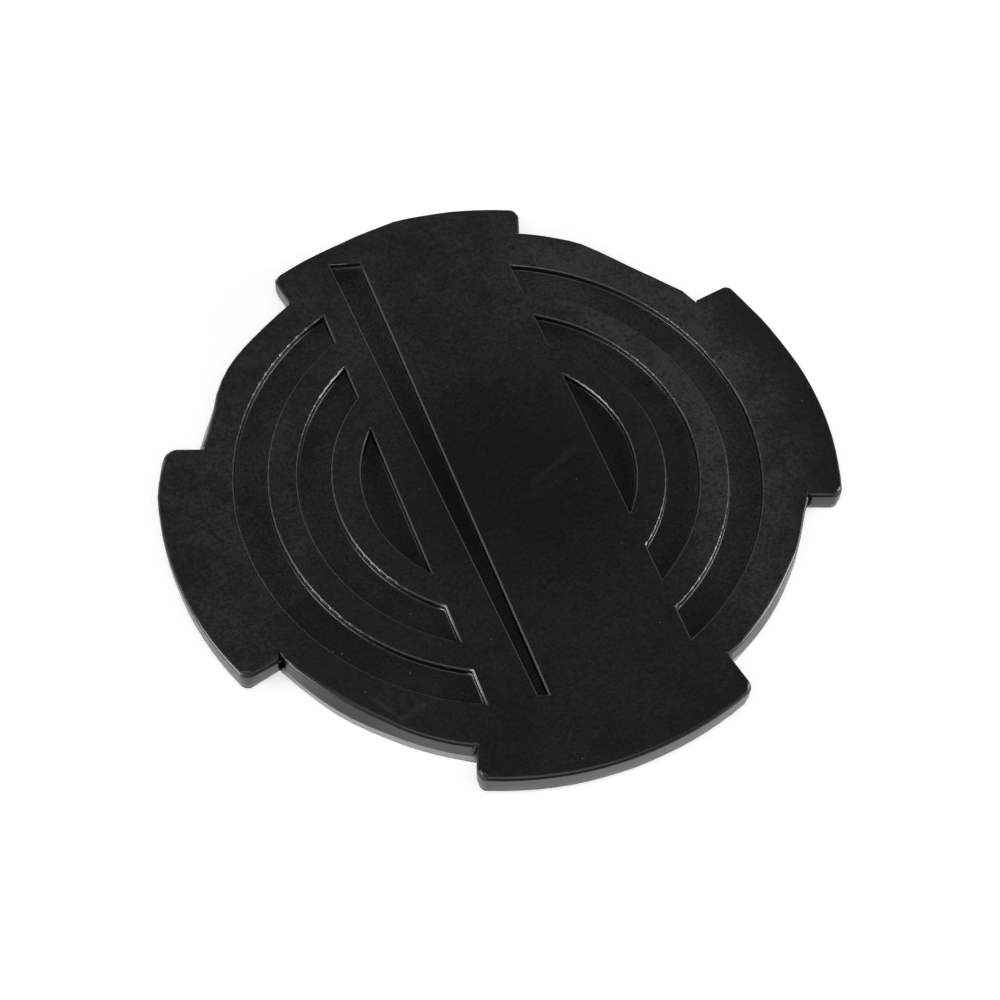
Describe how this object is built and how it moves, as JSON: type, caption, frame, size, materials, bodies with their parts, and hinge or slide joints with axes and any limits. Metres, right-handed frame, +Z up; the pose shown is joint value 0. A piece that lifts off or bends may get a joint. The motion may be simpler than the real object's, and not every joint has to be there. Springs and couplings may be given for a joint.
{
  "type": "rubber jack pad",
  "caption": "Round black rubber pad for a vehicle lift arm, with flat locating tabs round its rim and a grip tread of concentric grooves on either side of a plain band.",
  "frame": {"origin": "centre of the bottom face", "axes": "+Z up out of the tread face, +Y along the plain band towards the wide end of the slot, +X across the band"},
  "size_m": [0.1544, 0.1544, 0.009],
  "materials": {
    "rubber": "matte"
  },
  "bodies": {
    "root": {"jack_pad": "rubber"}
  },
  "joints": []
}
